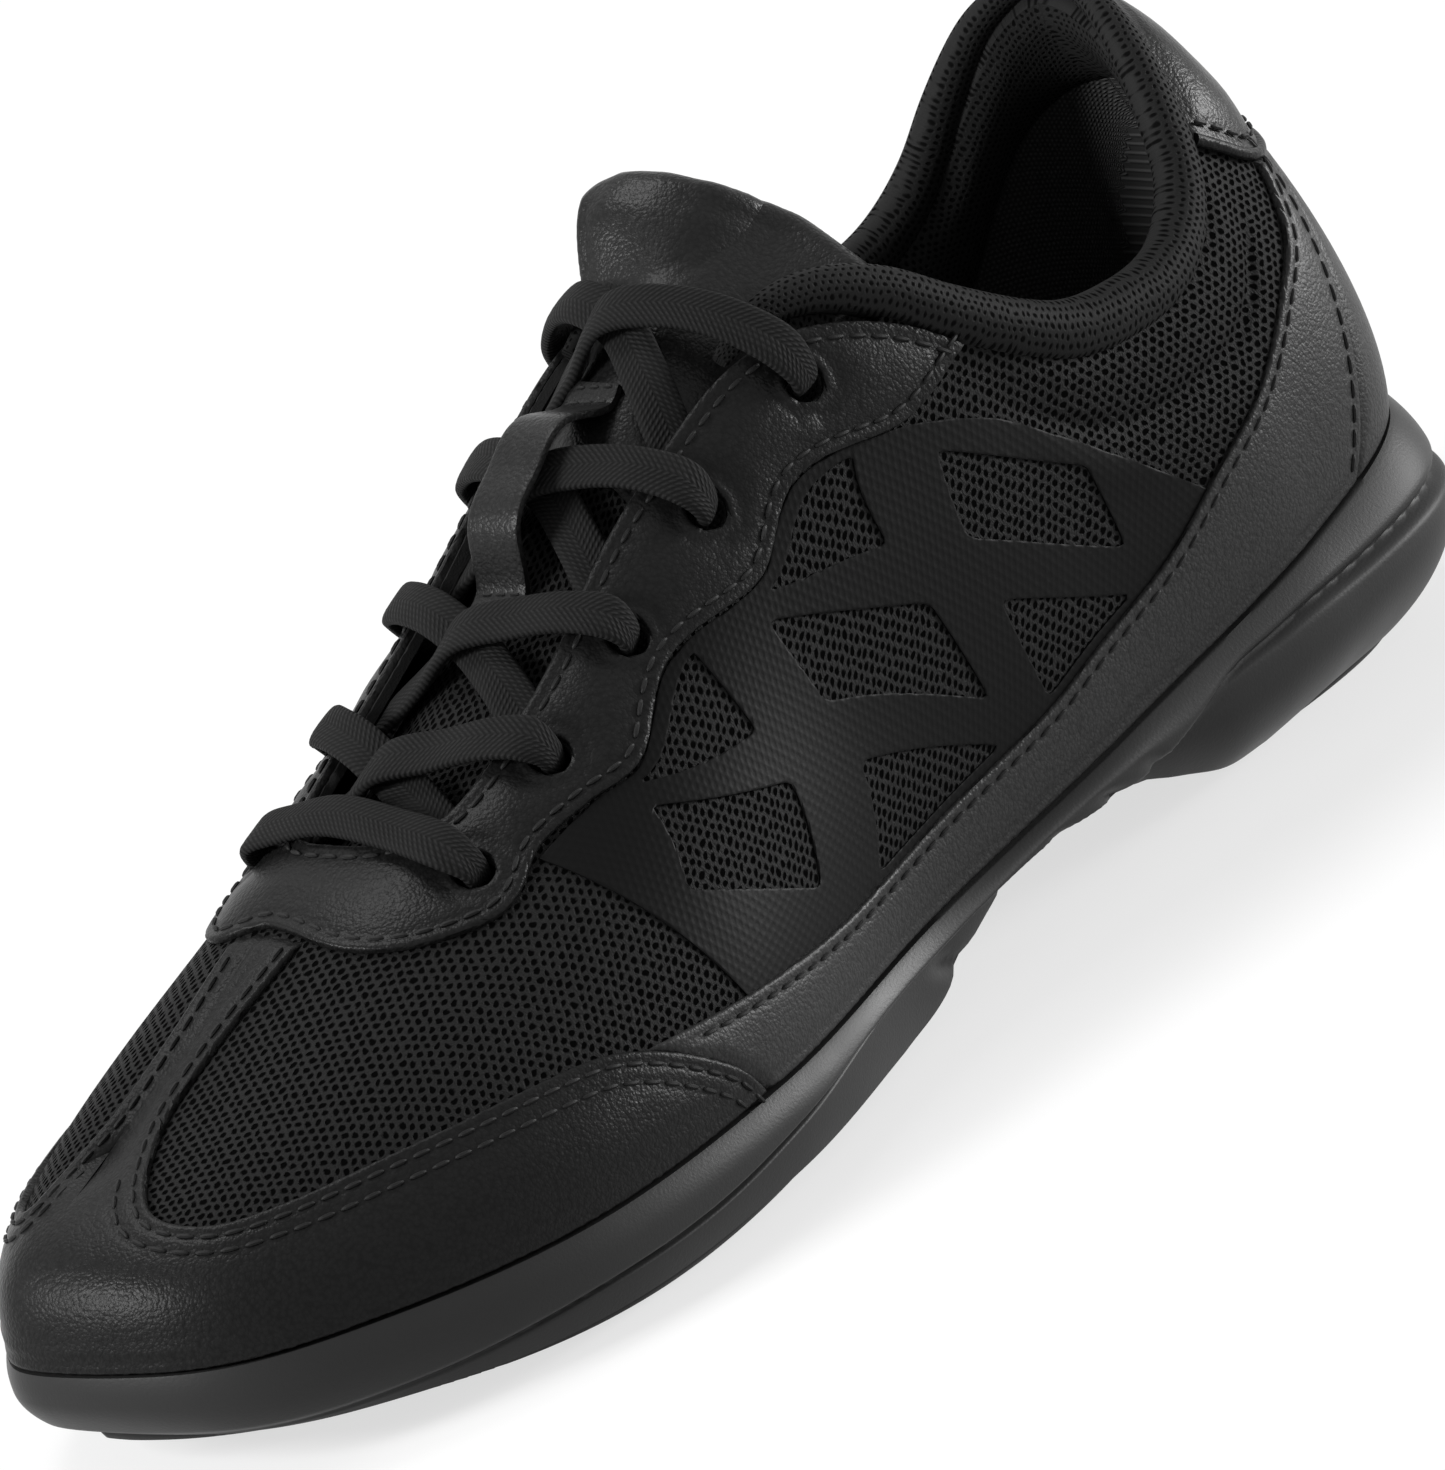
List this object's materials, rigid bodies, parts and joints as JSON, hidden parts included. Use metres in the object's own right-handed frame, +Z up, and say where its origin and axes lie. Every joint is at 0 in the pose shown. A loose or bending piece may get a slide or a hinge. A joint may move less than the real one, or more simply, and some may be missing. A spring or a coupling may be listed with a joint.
{
  "type": "cheer shoe",
  "caption": "Low-cut lace-up cheer shoe: leather-look overlays and air mesh on a light curved sole, padded collar and tongue, flat lace through punched eyelets.",
  "frame": {"origin": "on the ground at the middle of the outsole's box", "axes": "toe towards -X, heel towards +X, lateral side towards -Y, medial side towards +Y, +Z up"},
  "size_m": [0.2584, 0.0886, 0.0984],
  "materials": {
    "rubber": "smooth satin moulded sole",
    "tread_rubber": "matte moulded tread",
    "board": "pressed fibre board",
    "foam": "open foam",
    "lining_fabric": "fine knitted lining",
    "air_mesh": "holed air mesh",
    "stiffener": "thermoplastic sheet",
    "leather": "fine-grained satin coated leather",
    "film": "satin fused film",
    "lace": "flat woven",
    "plastic": "smooth"
  },
  "bodies": {
    "shoe": {"midsole": "rubber", "outsole_forefoot": "tread_rubber", "outsole_heel": "tread_rubber", "insole_board": "board", "sockliner_foam": "foam", "sockliner_cover": "lining_fabric", "upper_mesh": "air_mesh", "upper_lining": "lining_fabric", "toe_puff": "stiffener", "heel_counter": "stiffener", "collar_foam": "foam", "collar_lining": "lining_fabric", "collar_binding": "air_mesh", "toe_cap": "leather", "lateral_rand": "leather", "medial_rand": "leather", "heel_stay": "leather", "heel_tab": "leather", "eyestay": "leather", "eyestay_backer": "stiffener", "film_lateral": "film", "film_medial": "film", "tongue_mesh": "air_mesh", "tongue_panel": "leather", "tongue_foam": "foam", "tongue_lining": "lining_fabric", "lace_keeper": "leather", "lace": "lace", "aglet_lateral": "plastic", "aglet_medial": "plastic"},
    "tongue_flap": {"flap_cover": "leather", "flap_foam": "foam", "flap_lining": "lining_fabric"}
  },
  "joints": [
    {"name": "tongue_fold", "type": "hinge", "parent": "shoe", "child": "tongue_flap", "pos_m": [0.0195, 0, 0.07483], "axis": [0, 1, 0], "range_deg": [0, 14], "stiffness_Nm_per_rad": 0.02}
  ]
}
